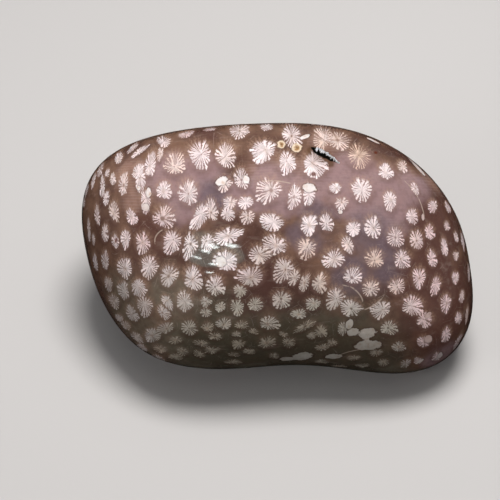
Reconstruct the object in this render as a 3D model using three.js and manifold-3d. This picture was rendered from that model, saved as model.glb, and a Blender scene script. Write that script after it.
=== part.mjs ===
// A palm-sized piece of agatized fossil coral, ground to a smooth bean-like pebble and polished all over.
// It leans back on a small flat foot, so that its broad face looks up and to the front.
// Near its crown a small open cleft in the agate is lined on one side with quartz crystals.
// Millimetres, +Z up, +X to the right of the broad face, origin under the middle of the pebble at its foot.
import * as THREE from 'three';
import { mergeVertices } from 'three/addons/utils/BufferGeometryUtils.js';
import Module from 'manifold-3d';

// The pebble before it stands: a rounded, slightly squared ellipsoid along X, its broad face to +Z
const HALF_LENGTH = 30.0;
const HALF_WIDTH = 19.8;
const HALF_THICKNESS = 14.7;
const PLAN_SQUARENESS = 2.6;      // 2 is a true ellipse, more is squarer, seen on the broad face
const EDGE_SQUARENESS = 2.3;      // the same, from the broad face round to the back
const RIGHT_END_FULLER = 0.10;    // share of the half width gained at the right end, lost at the left
const BOTH_ENDS_FULLER = 0.07;
const LEFT_SHOULDER = 0.13;
const BACK_EDGE_THICKER = 0.08;

// How its middle line runs: down to the right, bowed to the front, and hooked at the ends
const SKEW = -4.3;
const BOW = -1.8;
const HOOK = -0.7;

// The long shallow saddle in the front edge, between its two lobes
const SADDLE_DEPTH = 2.8;
const SADDLE_PLACE = 0.16;        // right of the middle, as a share of the half length
const SADDLE_REACH = 0.5;
const FRONT_SWELL = 1.0;

// The left end, ground to a soft flat
const FACET_HEADING = 204;        // degrees about Z from +X
const FACET_RISE = 21;            // degrees up from the pebble's middle plane
const FACET_DISTANCE = 25.4;
const FACET_SOFTNESS = 1.8;
const FACET_GROUND = 0.85;        // share of the stone beyond the flat that was ground away

// How it stands
const LEAN = 31;                  // degrees that the broad face leans back from level
const TURN = 8.5;                 // degrees that it is turned about the upright
const FOOT_CUT = 2.0;             // how much was ground off to make the flat foot

// The cleft and its crystals
const CLEFT_DIRECTION = [0.247, 0.620, 0.745];   // from the pebble's middle, before it stands
const CLEFT_HEADING = -31;        // degrees about the upright
const CLEFT_HALF_LENGTH = 2.5;
const CLEFT_HALF_WIDTH = 1.3;
const CLEFT_DEPTH = 1.9;
const CRUST_GAP = 0.3;
const CRUST_SHARE = 0.1;          // the crust starts this share of the half width behind the cleft's middle
const CRYSTAL_COUNT = 7;
const CRYSTAL_RADIUS = 0.24;
const CRYSTAL_LENGTH = 0.8;

const BALL_DETAIL = 17;           // 20 * (detail + 1) squared faces
const CLEFT_DETAIL = 4;
const AGATE_COLOUR = 0x6f5850;
const QUARTZ_COLOUR = 0xdfe2ea;

const wasm = await Module();
wasm.setup();

// Degrees to radians
const radians = THREE.MathUtils.degToRad;

// The point of the standing pebble that a direction from its middle reaches
function colonyPoint(direction) {
  const plan = Math.pow(
    Math.pow(Math.abs(direction.x), PLAN_SQUARENESS) + Math.pow(Math.abs(direction.y), PLAN_SQUARENESS),
    1 / PLAN_SQUARENESS,
  );
  const reach = Math.pow(
    Math.pow(plan, EDGE_SQUARENESS) + Math.pow(Math.abs(direction.z), EDGE_SQUARENESS),
    -1 / EDGE_SQUARENESS,
  );
  const along = direction.x * reach;
  const across = direction.y * reach;
  const through = direction.z * reach;

  const fullness = 1 + RIGHT_END_FULLER * along + BOTH_ENDS_FULLER * along ** 2 - LEFT_SHOULDER * along ** 3;
  const middleLine = SKEW * along + BOW * along ** 2 + HOOK * along ** 3;
  const saddle = SADDLE_DEPTH * Math.exp(-(((along - SADDLE_PLACE) / SADDLE_REACH) ** 2));
  const front = Math.max(-across, 0) ** 2;
  const point = new THREE.Vector3(
    HALF_LENGTH * along,
    HALF_WIDTH * fullness * across + middleLine + (saddle - FRONT_SWELL) * front,
    HALF_THICKNESS * (1 + BACK_EDGE_THICKER * across) * through,
  );

  const facet = new THREE.Vector3(1, 0, 0)
    .applyAxisAngle(new THREE.Vector3(0, -1, 0), radians(FACET_RISE))
    .applyAxisAngle(new THREE.Vector3(0, 0, 1), radians(FACET_HEADING));
  const beyond = (point.dot(facet) - FACET_DISTANCE) / FACET_SOFTNESS;
  point.addScaledVector(facet, -FACET_GROUND * FACET_SOFTNESS * Math.log1p(Math.exp(beyond)));

  point.applyAxisAngle(new THREE.Vector3(1, 0, 0), radians(LEAN));
  return point.applyAxisAngle(new THREE.Vector3(0, 0, 1), radians(TURN));
}

// A closed ball of triangles that shares its vertices, each moved by a function
function shapedBall(detail, move) {
  const ball = new THREE.IcosahedronGeometry(1, detail);
  ball.deleteAttribute('normal');
  ball.deleteAttribute('uv');
  const shared = mergeVertices(ball, 1e-5);
  const position = shared.getAttribute('position');
  for (let i = 0; i < position.count; i += 1) {
    const moved = move(new THREE.Vector3().fromBufferAttribute(position, i).normalize());
    position.setXYZ(i, moved.x, moved.y, moved.z);
  }
  return shared;
}

// A closed geometry as a solid that can be joined and cut
function asSolid(geometry) {
  const bare = geometry.clone();
  bare.deleteAttribute('normal');
  bare.deleteAttribute('uv');
  const shared = mergeVertices(bare, 1e-5);
  return new wasm.Manifold(new wasm.Mesh({
    numProp: 3,
    vertProperties: new Float32Array(shared.getAttribute('position').array),
    triVerts: new Uint32Array(shared.index.array),
  }));
}

// A solid back as a geometry to show
function asGeometry(solid) {
  const mesh = solid.getMesh();
  const geometry = new THREE.BufferGeometry();
  geometry.setAttribute('position', new THREE.BufferAttribute(new Float32Array(mesh.vertProperties), 3));
  geometry.setIndex(new THREE.BufferAttribute(new Uint32Array(mesh.triVerts), 1));
  geometry.computeVertexNormals();
  return geometry;
}

// Brings the pebble over the origin, with its foot plane at the height where the stone is cut off
function standingOffset(geometry) {
  geometry.computeBoundingBox();
  const middle = geometry.boundingBox.getCenter(new THREE.Vector3());
  return new THREE.Vector3(-middle.x, -middle.y, -(geometry.boundingBox.min.z + FOOT_CUT));
}

// The frame of the cleft: Z straight out of the stone, X along the cleft, at the stone's surface
function cleftFrame(offset) {
  const direction = new THREE.Vector3(...CLEFT_DIRECTION).normalize();
  const place = colonyPoint(direction);
  const step = 0.01;
  const right = colonyPoint(direction.clone().add(new THREE.Vector3(step, 0, 0)).normalize()).sub(place);
  const back = colonyPoint(direction.clone().add(new THREE.Vector3(0, step, 0)).normalize()).sub(place);
  const out = right.cross(back).normalize();
  const heading = radians(CLEFT_HEADING);
  const lengthways = new THREE.Vector3(Math.cos(heading), Math.sin(heading), 0);
  lengthways.addScaledVector(out, -lengthways.dot(out)).normalize();
  const sideways = new THREE.Vector3().crossVectors(out, lengthways);
  const frame = new THREE.Matrix4().makeBasis(lengthways, sideways, out);
  return frame.setPosition(place.add(offset));
}

// A rounded pocket shape in the cleft's frame, smaller all round by a margin
function cleftPocket(margin) {
  return shapedBall(CLEFT_DETAIL, (direction) => new THREE.Vector3(
    direction.x * (CLEFT_HALF_LENGTH - margin),
    direction.y * (CLEFT_HALF_WIDTH - margin),
    direction.z * (CLEFT_DEPTH - margin),
  ));
}

// The stone: the polished pebble, with its flat foot and its cleft cut in
function makeColony(pebble, frame) {
  const floor = new THREE.BoxGeometry(4 * HALF_LENGTH, 4 * HALF_LENGTH, HALF_THICKNESS);
  floor.translate(0, 0, -HALF_THICKNESS / 2);
  const cleft = cleftPocket(0).applyMatrix4(frame);
  return asSolid(pebble).subtract(asSolid(floor)).subtract(asSolid(cleft));
}

// The crust: the back half of the cleft's lining, with a row of crystals that point across it
function makeCrust(frame) {
  const lining = asSolid(cleftPocket(CRUST_GAP));
  const hollow = cleftPocket(CRUST_GAP);
  hollow.translate(0, -0.35, 0.45);
  const block = new THREE.BoxGeometry(2 * CLEFT_HALF_LENGTH, 2 * CLEFT_HALF_WIDTH, 2 * CLEFT_DEPTH);
  const kept = block.clone().translate(0, CLEFT_HALF_WIDTH * (1 + CRUST_SHARE), -CLEFT_DEPTH);
  let crust = lining.subtract(asSolid(hollow)).intersect(asSolid(kept));
  for (let i = 0; i < CRYSTAL_COUNT; i += 1) {
    const share = (i + 0.5) / CRYSTAL_COUNT * 2 - 1;
    const bow = Math.sqrt(1 - (0.85 * share) ** 2);
    const crystal = new THREE.ConeGeometry(CRYSTAL_RADIUS, CRYSTAL_LENGTH, 6);
    crystal.rotateX(Math.PI + 0.5 * (i % 2 ? 1 : -1) * 0.4);
    crystal.translate(
      0.8 * share * (CLEFT_HALF_LENGTH - CRUST_GAP),
      (CLEFT_HALF_WIDTH - CRUST_GAP) * bow - CRYSTAL_LENGTH * 0.45,
      -CLEFT_DEPTH * 0.3,
    );
    crust = crust.add(asSolid(crystal).intersect(lining));
  }
  return asSolid(asGeometry(crust).applyMatrix4(frame));
}

const pebble = shapedBall(BALL_DETAIL, colonyPoint);
const offset = standingOffset(pebble);
pebble.translate(offset.x, offset.y, offset.z);
const frame = cleftFrame(offset);

const coral = new THREE.Group();

const colony = new THREE.Mesh(
  asGeometry(makeColony(pebble, frame)),
  new THREE.MeshStandardMaterial({ color: AGATE_COLOUR, roughness: 0.18, metalness: 0 }),
);
colony.name = 'fossil_coral';
coral.add(colony);

const crust = new THREE.Mesh(
  asGeometry(makeCrust(frame)),
  new THREE.MeshStandardMaterial({ color: QUARTZ_COLOUR, roughness: 0.25, metalness: 0, flatShading: true }),
);
crust.name = 'cleft_crystals';
coral.add(crust);

export default coral;
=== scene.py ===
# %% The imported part
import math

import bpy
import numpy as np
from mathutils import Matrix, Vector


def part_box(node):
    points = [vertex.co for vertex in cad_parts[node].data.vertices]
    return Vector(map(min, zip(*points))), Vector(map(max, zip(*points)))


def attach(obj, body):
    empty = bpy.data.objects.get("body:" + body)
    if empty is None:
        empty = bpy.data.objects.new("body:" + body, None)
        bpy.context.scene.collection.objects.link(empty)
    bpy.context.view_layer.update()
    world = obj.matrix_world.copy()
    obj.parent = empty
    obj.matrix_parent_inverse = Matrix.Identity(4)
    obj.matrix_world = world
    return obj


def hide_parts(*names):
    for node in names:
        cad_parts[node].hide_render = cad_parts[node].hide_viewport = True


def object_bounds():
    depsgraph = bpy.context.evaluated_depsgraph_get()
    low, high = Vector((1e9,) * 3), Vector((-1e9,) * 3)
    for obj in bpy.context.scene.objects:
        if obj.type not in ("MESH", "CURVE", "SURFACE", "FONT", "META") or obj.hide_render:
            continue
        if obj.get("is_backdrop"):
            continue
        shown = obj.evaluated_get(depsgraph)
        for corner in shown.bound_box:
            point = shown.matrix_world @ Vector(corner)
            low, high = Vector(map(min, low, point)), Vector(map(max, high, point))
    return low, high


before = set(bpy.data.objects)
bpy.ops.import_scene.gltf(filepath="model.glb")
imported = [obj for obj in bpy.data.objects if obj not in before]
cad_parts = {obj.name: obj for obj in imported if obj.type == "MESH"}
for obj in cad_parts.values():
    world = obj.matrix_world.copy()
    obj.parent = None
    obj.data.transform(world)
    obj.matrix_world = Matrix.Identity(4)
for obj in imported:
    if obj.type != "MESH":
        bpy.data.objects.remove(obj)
cad_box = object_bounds()

# %% [markdown]
# A polished fossil coral.
#
# The object is one pebble of coral that turned to agate, 61 mm long, ground to a soft bean shape and
# polished all over. Its whole look is in the stone: hundreds of corallites, each a pale flower of thin
# plates, set in brown, milky, half clear agate. One small cleft near the crown has a crust of quartz.
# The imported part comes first, because every piece here stands where the part's own solids stand.
# Sizes are in millimetres below, and turn into metres only where a mesh, a lamp or the camera is made.

MM = 0.001
rng = np.random.default_rng(412)
print("packed part, metres:", [round(high - low, 4) for low, high in zip(*cad_box)])

# %% [markdown]
# The camera stands where the picture was taken from: 181 mm above the table, 134 mm in front of the
# pebble's middle, and it looks down by 51 degrees through a long lens. It is made first, because the
# flowers of the broad face are placed by how far right and how far up they are seen from it.

# %% The camera
CAMERA_PLACE = np.array([-4.3, -133.6, 181.5])
CAMERA_PITCH = math.radians(51.44)
FOCAL_PIXELS = 1357
PICTURE_PIXELS = 500
SENSOR = 36.0

camera_data = bpy.data.cameras.new("camera")
camera_data.sensor_width = SENSOR
camera_data.lens = FOCAL_PIXELS / PICTURE_PIXELS * SENSOR
camera_data.clip_start = 0.01
camera = bpy.data.objects.new("camera", camera_data)
camera.location = CAMERA_PLACE * MM
camera.rotation_euler = (math.pi / 2 - CAMERA_PITCH, 0, 0)
bpy.context.scene.collection.objects.link(camera)
bpy.context.scene.camera = camera
print("lens, mm:", round(camera_data.lens, 1))

# %% How far right and up a point is seen
VIEW_AXIS = np.array([0, math.cos(CAMERA_PITCH), -math.sin(CAMERA_PITCH)])
VIEW_UP = np.array([0, math.sin(CAMERA_PITCH), math.cos(CAMERA_PITCH)])
VIEW_RIGHT = np.array([1.0, 0, 0])
MIDDLE_DISTANCE = 213.0


def seen_from_camera(points):
    """Millimetres right of and above the picture's middle, at the distance of the pebble's middle."""
    away = points - CAMERA_PLACE
    shrink = MIDDLE_DISTANCE / (away @ VIEW_AXIS)
    return np.stack([away @ VIEW_RIGHT * shrink, away @ VIEW_UP * shrink], axis=-1)


# %% [markdown]
# The pebble's form. A pebble could be sculpted by hand or blended from balls, but a polished stone is
# one smooth, exact surface, so a formula suits it. Each direction from the middle reaches one point: an
# ellipsoid, slightly squared, fuller to the right, bowed and hooked, with a saddle pressed into its
# front edge and a soft flat ground on its left end. It then leans back and turns on its foot. These are
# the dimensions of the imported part, so the two surfaces agree.

# %% The form of the pebble
HALF_LENGTH = 30.0
HALF_WIDTH = 19.8
HALF_THICKNESS = 14.7
PLAN_SQUARENESS = 2.6
EDGE_SQUARENESS = 2.3
RIGHT_END_FULLER = 0.10
BOTH_ENDS_FULLER = 0.07
LEFT_SHOULDER = 0.13
BACK_EDGE_THICKER = 0.08
SKEW = -4.3
BOW = -1.8
HOOK = -0.7
SADDLE_DEPTH = 2.8
SADDLE_PLACE = 0.16
SADDLE_REACH = 0.5
FRONT_SWELL = 1.0
FACET_HEADING = math.radians(204)
FACET_RISE = math.radians(21)
FACET_DISTANCE = 25.4
FACET_SOFTNESS = 1.8
FACET_GROUND = 0.85
LEAN = math.radians(31)
TURN = math.radians(8.5)
FOOT_CUT = 2.0
FOOT_EDGE = 0.25


def squared_ball(directions):
    """Unit directions moved out to a ball that is squared in plan and, less, through its edge."""
    x, y, z = np.abs(directions).T
    plan = (x ** PLAN_SQUARENESS + y ** PLAN_SQUARENESS) ** (1 / PLAN_SQUARENESS)
    reach = (plan ** EDGE_SQUARENESS + z ** EDGE_SQUARENESS) ** (-1 / EDGE_SQUARENESS)
    return directions * reach[:, None]


def bean(ball):
    """The squared ball stretched, bowed and saddled to the pebble, lying flat, in millimetres."""
    along, across, through = ball.T
    fullness = 1 + RIGHT_END_FULLER * along + BOTH_ENDS_FULLER * along ** 2 - LEFT_SHOULDER * along ** 3
    middle_line = SKEW * along + BOW * along ** 2 + HOOK * along ** 3
    saddle = SADDLE_DEPTH * np.exp(-((along - SADDLE_PLACE) / SADDLE_REACH) ** 2)
    front = np.maximum(-across, 0) ** 2
    return np.stack([
        HALF_LENGTH * along,
        HALF_WIDTH * fullness * across + middle_line + (saddle - FRONT_SWELL) * front,
        HALF_THICKNESS * (1 + BACK_EDGE_THICKER * across) * through,
    ], axis=-1)


def ground_left_end(points):
    """The left end ground back towards a plane, with a soft edge."""
    facet = np.array([
        math.cos(FACET_HEADING) * math.cos(FACET_RISE),
        math.sin(FACET_HEADING) * math.cos(FACET_RISE),
        math.sin(FACET_RISE),
    ])
    beyond = (points @ facet - FACET_DISTANCE) / FACET_SOFTNESS
    ground = FACET_GROUND * FACET_SOFTNESS * np.logaddexp(0, beyond)
    return points - ground[:, None] * facet


def stood_up(points):
    """The lying pebble leaned back about X, then turned about Z."""
    pose = Matrix.Rotation(TURN, 3, "Z") @ Matrix.Rotation(LEAN, 3, "X")
    return points @ np.array(pose).T


def pebble_points(directions):
    """Where unit directions from the middle reach on the pebble, before it is set on its foot."""
    return stood_up(ground_left_end(bean(squared_ball(directions))))


# %% [markdown]
# The mesh under the form. A ball with poles would pinch the polish where its lines meet, so the
# directions come from a cube whose six faces are divided evenly and blown up to a ball: all quads, all
# about a quarter of a millimetre, and nearly the same size everywhere.

# %% An even ball of directions
GRID = 122


def cube_ball(count):
    """Unit directions and quads of a cube, count quads along each edge, blown up to a ball."""
    angles = np.linspace(-math.pi / 4, math.pi / 4, count + 1)
    a, b = np.meshgrid(np.tan(angles), np.tan(angles), indexing="ij")
    one = np.ones_like(a)
    sheets = []
    for turn in range(3):
        for side in (1, -1):
            sheet = np.stack([side * one, side * a, b], axis=-1)
            sheets.append(np.roll(sheet, turn, axis=-1).reshape(-1, 3))
    points = np.concatenate(sheets)
    points /= np.linalg.norm(points, axis=1, keepdims=True)
    corner = np.arange(count)
    i, j = np.meshgrid(corner, corner, indexing="ij")
    first = (i * (count + 1) + j).ravel()
    quad = np.stack([first, first + count + 1, first + count + 2, first + 1], axis=-1)
    quads = np.concatenate([quad + sheet * (count + 1) ** 2 for sheet in range(6)])
    _, keep, place = np.unique(np.round(points, 6), axis=0, return_index=True, return_inverse=True)
    return points[keep], place.reshape(-1)[quads]


directions, quads = cube_ball(GRID)
print("directions:", len(directions), "quads:", len(quads))

# %% [markdown]
# The foot. The real stone stands by itself on a small ground spot, so everything below the foot plane
# is pressed up to it. The edge of the spot is eased over a quarter of a millimetre, as a polished edge
# is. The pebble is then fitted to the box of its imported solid, which puts it exactly in the same place.

# %% The pebble on its foot
PEBBLE = "fossil_coral"
solid_low, solid_high = (np.array(corner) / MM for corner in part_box(PEBBLE))


def eased_floor(height):
    """Heights kept at or above zero, with a round edge instead of a crease."""
    eased = (height + FOOT_EDGE) ** 2 / (4 * FOOT_EDGE)
    return np.where(height > FOOT_EDGE, height, np.where(height < -FOOT_EDGE, 0, eased))


def set_on_foot(points):
    """Moves the pebble over the origin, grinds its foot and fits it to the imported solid's box."""
    low, high = points.min(axis=0), points.max(axis=0)
    points = points - [(low[0] + high[0]) / 2, (low[1] + high[1]) / 2, low[2] + FOOT_CUT]
    points[:, 2] = eased_floor(points[:, 2])
    size = points.max(axis=0) - points.min(axis=0)
    return points * ((solid_high - solid_low) / size) + [*(solid_high + solid_low)[:2] / 2, 0]


pebble_vertices = set_on_foot(pebble_points(directions))
print("pebble, mm:", np.round(pebble_vertices.max(axis=0) - pebble_vertices.min(axis=0), 2))


# %% Meshes from points
def new_piece(name, points, faces, smooth=True):
    """An object from points in millimetres and a list of faces."""
    mesh = bpy.data.meshes.new(name)
    mesh.from_pydata((points * MM).tolist(), [], faces)
    mesh.update()
    if smooth:
        mesh.shade_smooth()
    piece = bpy.data.objects.new(name, mesh)
    bpy.context.scene.collection.objects.link(piece)
    return piece


pebble = new_piece("polished_coral", pebble_vertices, quads.tolist())

# %% [markdown]
# The cleft. Near the crown the agate never closed, and a thin open cleft 4.6 mm long is left. It opens
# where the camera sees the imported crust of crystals, so the crust's own box says where. It is cut with
# a Boolean, because a dent pushed into the mesh would have a soft rim, and this one is broken and
# sharp. The cutter is a ball squeezed to the pocket's size and made uneven with two slow waves. Its
# faces carry a mark, which the Boolean keeps, so the cleft's walls are known afterwards.

# %% The cleft's place
CRYSTALS_NODE = "cleft_crystals"
CLEFT_HEADING = math.radians(-31)
CLEFT_HALF_LENGTH = 2.3
CLEFT_HALF_WIDTH = 0.66
CLEFT_TAPER = 0.35
CLEFT_DEPTH = 1.5
OUT_OF_REACH = 1000


def unit(vector):
    """The vector at length 1."""
    return vector / np.linalg.norm(vector)


def along_surface(vector, normal):
    """The vector laid flat on a surface with this normal, at length 1."""
    return unit(vector - normal * (vector @ normal))


crust_middle = np.mean([np.array(corner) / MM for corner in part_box(CRYSTALS_NODE)], axis=0)
vertex_normals = np.array([vertex.normal for vertex in pebble.data.vertices])
miss = np.linalg.norm(seen_from_camera(pebble_vertices) - seen_from_camera(crust_middle), axis=1)
miss += OUT_OF_REACH * (vertex_normals @ VIEW_AXIS > 0)
cleft_vertex = int(np.argmin(miss))
cleft_place = pebble_vertices[cleft_vertex]
cleft_out = vertex_normals[cleft_vertex]
cleft_heading = np.array([math.cos(CLEFT_HEADING), math.sin(CLEFT_HEADING), 0])
cleft_along = along_surface(cleft_heading, cleft_out)
cleft_side = np.cross(cleft_out, cleft_along)
cleft_frame = np.stack([cleft_along, cleft_side, cleft_out])
print("cleft at, mm:", np.round(cleft_place, 1), "facing", np.round(cleft_out, 2))

# %% Cutting the cleft
CUTTER_GRID = 20


def pocket(shrink):
    """The cleft's uneven pocket in its own frame, smaller by a margin in millimetres."""
    ball, faces = cube_ball(CUTTER_GRID)
    x, y, z = ball.T
    uneven = 1 + 0.10 * np.sin(7 * x + 1) * np.cos(5 * y) + 0.07 * np.sin(15 * x + 6 * z)
    radii = np.array([CLEFT_HALF_LENGTH, CLEFT_HALF_WIDTH, CLEFT_DEPTH]) - shrink
    taper = 1 - CLEFT_TAPER * x
    shaped = ball * radii * uneven[:, None]
    shaped[:, 1] *= taper
    return shaped, faces


pocket_points, pocket_faces = pocket(0)
cutter_points = pocket_points @ cleft_frame + cleft_place
cutter = new_piece("cleft_cutter", cutter_points, pocket_faces.tolist())
for piece, is_cutter in ((pebble, False), (cutter, True)):
    layer = piece.data.attributes.new("cut_face", "BOOLEAN", "FACE")
    layer.data.foreach_set("value", [is_cutter] * len(piece.data.polygons))
cut = pebble.modifiers.new("cleft", "BOOLEAN")
cut.operation = "DIFFERENCE"
cut.solver = "EXACT"
cut.object = cutter
bpy.context.view_layer.update()
cut_pebble = pebble.evaluated_get(bpy.context.evaluated_depsgraph_get())
cut_mesh = bpy.data.meshes.new_from_object(cut_pebble)
pebble.modifiers.remove(cut)
pebble.data = cut_mesh
bpy.data.objects.remove(cutter)
print("pebble after the cut:", len(pebble.data.polygons), "faces")


# %% Reading the cut mesh back
def read_numbers(items, field, kind=np.float32, count=1):
    """One property of many mesh elements as an array, with count numbers for each element."""
    numbers = np.empty(len(items) * count, dtype=kind)
    items.foreach_get(field, numbers)
    return numbers.reshape(-1, count) if count > 1 else numbers


mesh = pebble.data
vertex_places = read_numbers(mesh.vertices, "co", count=3) / MM
face_centres = read_numbers(mesh.polygons, "center", count=3) / MM
face_normals = read_numbers(mesh.polygons, "normal", count=3)
face_areas = read_numbers(mesh.polygons, "area") / MM ** 2
corner_vertices = read_numbers(mesh.loops, "vertex_index", np.int32)
face_sizes = read_numbers(mesh.polygons, "loop_total", np.int32)
corner_faces = np.repeat(np.arange(len(face_sizes)), face_sizes)
print("surface, square mm:", round(float(face_areas.sum())))

# %% Walls of the cleft
cleft_walls = read_numbers(mesh.attributes["cut_face"].data, "value", bool)
mesh.attributes.remove(mesh.attributes["cut_face"])
print("cleft wall faces:", int(cleft_walls.sum()))

# %% [markdown]
# The corallites. On the real stone each is the cut end of a tube that one polyp built, so they keep
# about one diameter and a third apart and never cross. They are colour in a flat polished surface,
# not relief. They could be scattered by a cell texture, but then none would sit where the stone has
# it. Instead each gets a centre, a normal and two measuring vectors. The flowers that show in the
# photograph are placed first, as (right, up, width, height, tilt) in millimetres and degrees as seen
# from the camera. The rest of the stone is then filled with seeded darts.

# %% Flowers given as seen
BRIGHT_FLOWERS = [
    (1.9, 15.4, 4.1, 3.8), (5.8, 13.7, 3.0, 3.6), (10.2, 13.2, 3.9, 4.1), (-8.0, 14.8, 3.5, 4.9, 15),
    (-15.5, 13.5, 1.7, 4.4, -8), (-3.5, 2.2, 4.6, 2.5, 12), (-3.6, -1.6, 3.6, 3.3),
    (3.3, 4.4, 3.9, 2.8, -15), (9.4, 8.6, 2.0, 3.5), (13.5, 9.7, 2.0, 1.6), (21.3, 12.2, 2.4, 2.8, 15),
    (-18.5, 5.2, 1.7, 2.7, 20), (9.1, 3.8, 2.5, 3.3), (16.2, 3.5, 2.2, 2.4), (19.5, 3.5, 2.5, 3.5, 15),
    (22.1, 7.7, 2.2, 3.1, 5),
]
PLAIN_FLOWERS = [
    (-3.8, 14.9, 3.1, 4.4), (-17.6, 12.4, 1.7, 2.7, -20), (-17.3, 15.5, 3.3, 0.9, 40),
    (-20.6, 14.4, 1.4, 2.2), (-23.5, 12.6, 0.9, 2.7, -15), (-21.5, 11.1, 1.1, 1.9),
    (-19.8, 10.4, 1.6, 3.9), (-23.2, 10.0, 0.9, 3.5), (-22.6, 8.2, 1.1, 2.4, -8),
    (-17.3, 11.0, 1.7, 3.9), (-16.3, 7.7, 1.7, 3.6, 5), (-13.3, 9.4, 2.4, 3.0),
    (-9.7, 8.8, 3.0, 4.1, 8), (-4.2, 10.4, 2.5, 2.5), (-1.3, 11.3, 2.2, 3.6, 10),
    (2.8, 9.3, 3.9, 4.1, -20), (7.1, 8.3, 2.2, 3.8, -15), (14.4, 7.4, 2.2, 2.0),
    (17.4, 9.3, 3.3, 3.6, 15), (25.9, 9.7, 1.3, 2.2, 25), (25.6, 5.2, 2.0, 2.5, -10),
    (28.6, 6.9, 1.7, 2.2), (31.1, 6.6, 1.1, 1.9, 12), (30.9, 3.9, 1.1, 1.6), (28.3, 2.8, 1.7, 2.4),
    (-8.0, 5.2, 2.4, 4.2, -25), (-6.0, 6.1, 1.9, 3.6, 10), (-0.8, 7.4, 2.4, 2.0), (-3.3, 5.5, 2.4, 2.2),
    (-0.5, 5.2, 2.4, 2.2), (-24.0, 5.5, 0.9, 3.5, 5), (-22.8, 2.7, 1.3, 2.8, -5),
    (-19.6, 1.6, 1.6, 3.1), (-16.8, 1.1, 2.5, 3.3), (-12.2, 1.3, 3.1, 3.6, -15),
    (-9.4, 0.5, 2.4, 3.9, -12), (-6.7, 1.1, 2.4, 2.5), (3.9, 0.9, 3.9, 3.0, -30),
    (11.9, 4.2, 2.0, 3.1, 10), (22.9, 1.9, 2.7, 3.1), (26.2, 1.4, 2.4, 3.0), (15.5, 0.9, 1.7, 3.1, 30),
    (13.0, -1.4, 3.3, 3.1, 20), (23.9, -1.7, 2.7, 2.8), (28.6, -1.3, 1.6, 2.8, 5),
    (32.3, -4.4, 1.4, 2.0), (29.2, -5.7, 1.7, 3.0, -15), (26.4, -4.4, 2.2, 3.3),
    (1.4, -0.7, 3.4, 2.8, -25), (-0.2, -4.1, 4.2, 3.3), (-5.3, -5.5, 2.8, 3.3),
    (-8.8, -4.4, 2.8, 3.9, 10), (-12.6, -4.1, 2.7, 3.6, -10), (-15.7, -2.7, 2.8, 3.5),
    (-19.6, -2.8, 2.4, 3.3, 10), (-22.8, -1.6, 1.3, 3.1), (-1.6, -6.6, 2.2, 1.9), (4.9, -7.8, 3.1, 2.8),
    (9.7, -8.5, 2.4, 1.9), (13.2, -7.7, 2.8, 3.6, -15), (15.7, -9.1, 3.5, 2.7, -20),
    (20.4, -9.4, 3.3, 2.8), (25.6, -8.8, 3.5, 3.0, -15), (30.8, -8.5, 1.9, 3.0),
    (27.3, -11.0, 2.7, 2.5, -20), (22.0, -12.2, 2.7, 2.2), (30.8, -13.2, 1.7, 2.4, -15),
    (23.5, -15.2, 2.2, 1.7), (27.3, -14.3, 2.2, 1.9, -20), (7.5, -10.0, 2.4, 1.6),
    (3.0, -11.5, 3.1, 2.2), (0.9, -8.6, 2.4, 2.2), (-1.9, -8.9, 2.2, 2.5, 20), (-4.6, -8.8, 1.6, 1.6),
    (-6.9, -8.2, 1.9, 1.7), (-6.9, -9.9, 1.9, 1.4), (-10.4, -8.2, 2.7, 3.1),
    (-12.8, -8.3, 1.5, 2.6, 30), (-16.5, -8.9, 2.7, 3.1, 15), (-19.9, -6.4, 1.9, 3.1, 15),
    (-17.4, -6.0, 2.7, 2.7), (-18.5, -10.0, 1.9, 2.8, 25), (-15.3, -13.4, 2.9, 2.3, 30),
    (-9.6, -12.2, 2.7, 2.4), (-13.3, -12.2, 2.7, 1.9, 10), (-4.1, -11.5, 2.4, 1.9),
    (-13.5, -10.0, 1.8, 2.6, 35), (-21.2, 1.4, 1.2, 2.3, 8), (14.7, -12.3, 1.7, 2.2),
]
FLOWERS_NEAR_THE_RIM = [
    (-18.4, 16.0, 0.9, 2.4, -38), (-22.4, 12.1, 0.8, 1.5, -5), (-24.6, 11.0, 0.7, 2.9, -8),
    (-25.7, 9.4, 0.6, 2.3, -8), (-26.1, 7.5, 0.6, 1.6), (-25.3, 3.0, 0.7, 3.6), (-24.6, 1.7, 0.7, 1.9),
    (-13.6, 17.1, 2.4, 2.0, -30), (-14.1, 14.9, 1.0, 2.4, -5), (-10.1, 18.2, 2.6, 1.3, 15),
    (-6.2, 19.0, 2.0, 0.7, 8), (-1.7, 18.6, 3.3, 2.7), (2.6, 19.3, 2.2, 1.4), (6.6, 17.9, 3.2, 4.2),
    (30.4, 0.4, 1.2, 3.0, 5), (32.3, 2.1, 0.8, 1.8, 8), (33.4, 1.3, 0.7, 3.2, 8),
    (32.3, -1.0, 1.1, 1.5, 5), (34.3, -3.6, 0.6, 2.8), (33.2, -7.3, 1.0, 2.0, -10),
    (32.8, -10.7, 1.4, 1.9, -10), (32.5, -14.5, 0.9, 3.0, -25), (29.3, -16.8, 1.6, 1.5, -30),
    (26.3, -17.4, 1.5, 1.2, -30), (26.5, -19.0, 1.0, 0.5), (-24.2, -2.0, 0.9, 3.0, 5),
    (-22.2, -5.3, 1.6, 2.3, 10), (-21.3, -8.1, 2.0, 2.4, 30), (-20.6, -10.6, 1.5, 1.3, -30),
    (-19.5, -11.8, 1.8, 1.5, -30), (-17.6, -13.8, 2.5, 1.4, -32), (-16.8, -15.4, 2.0, 1.2, -30),
    (-14.4, -17.0, 2.4, 1.4, -30),
]
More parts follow.
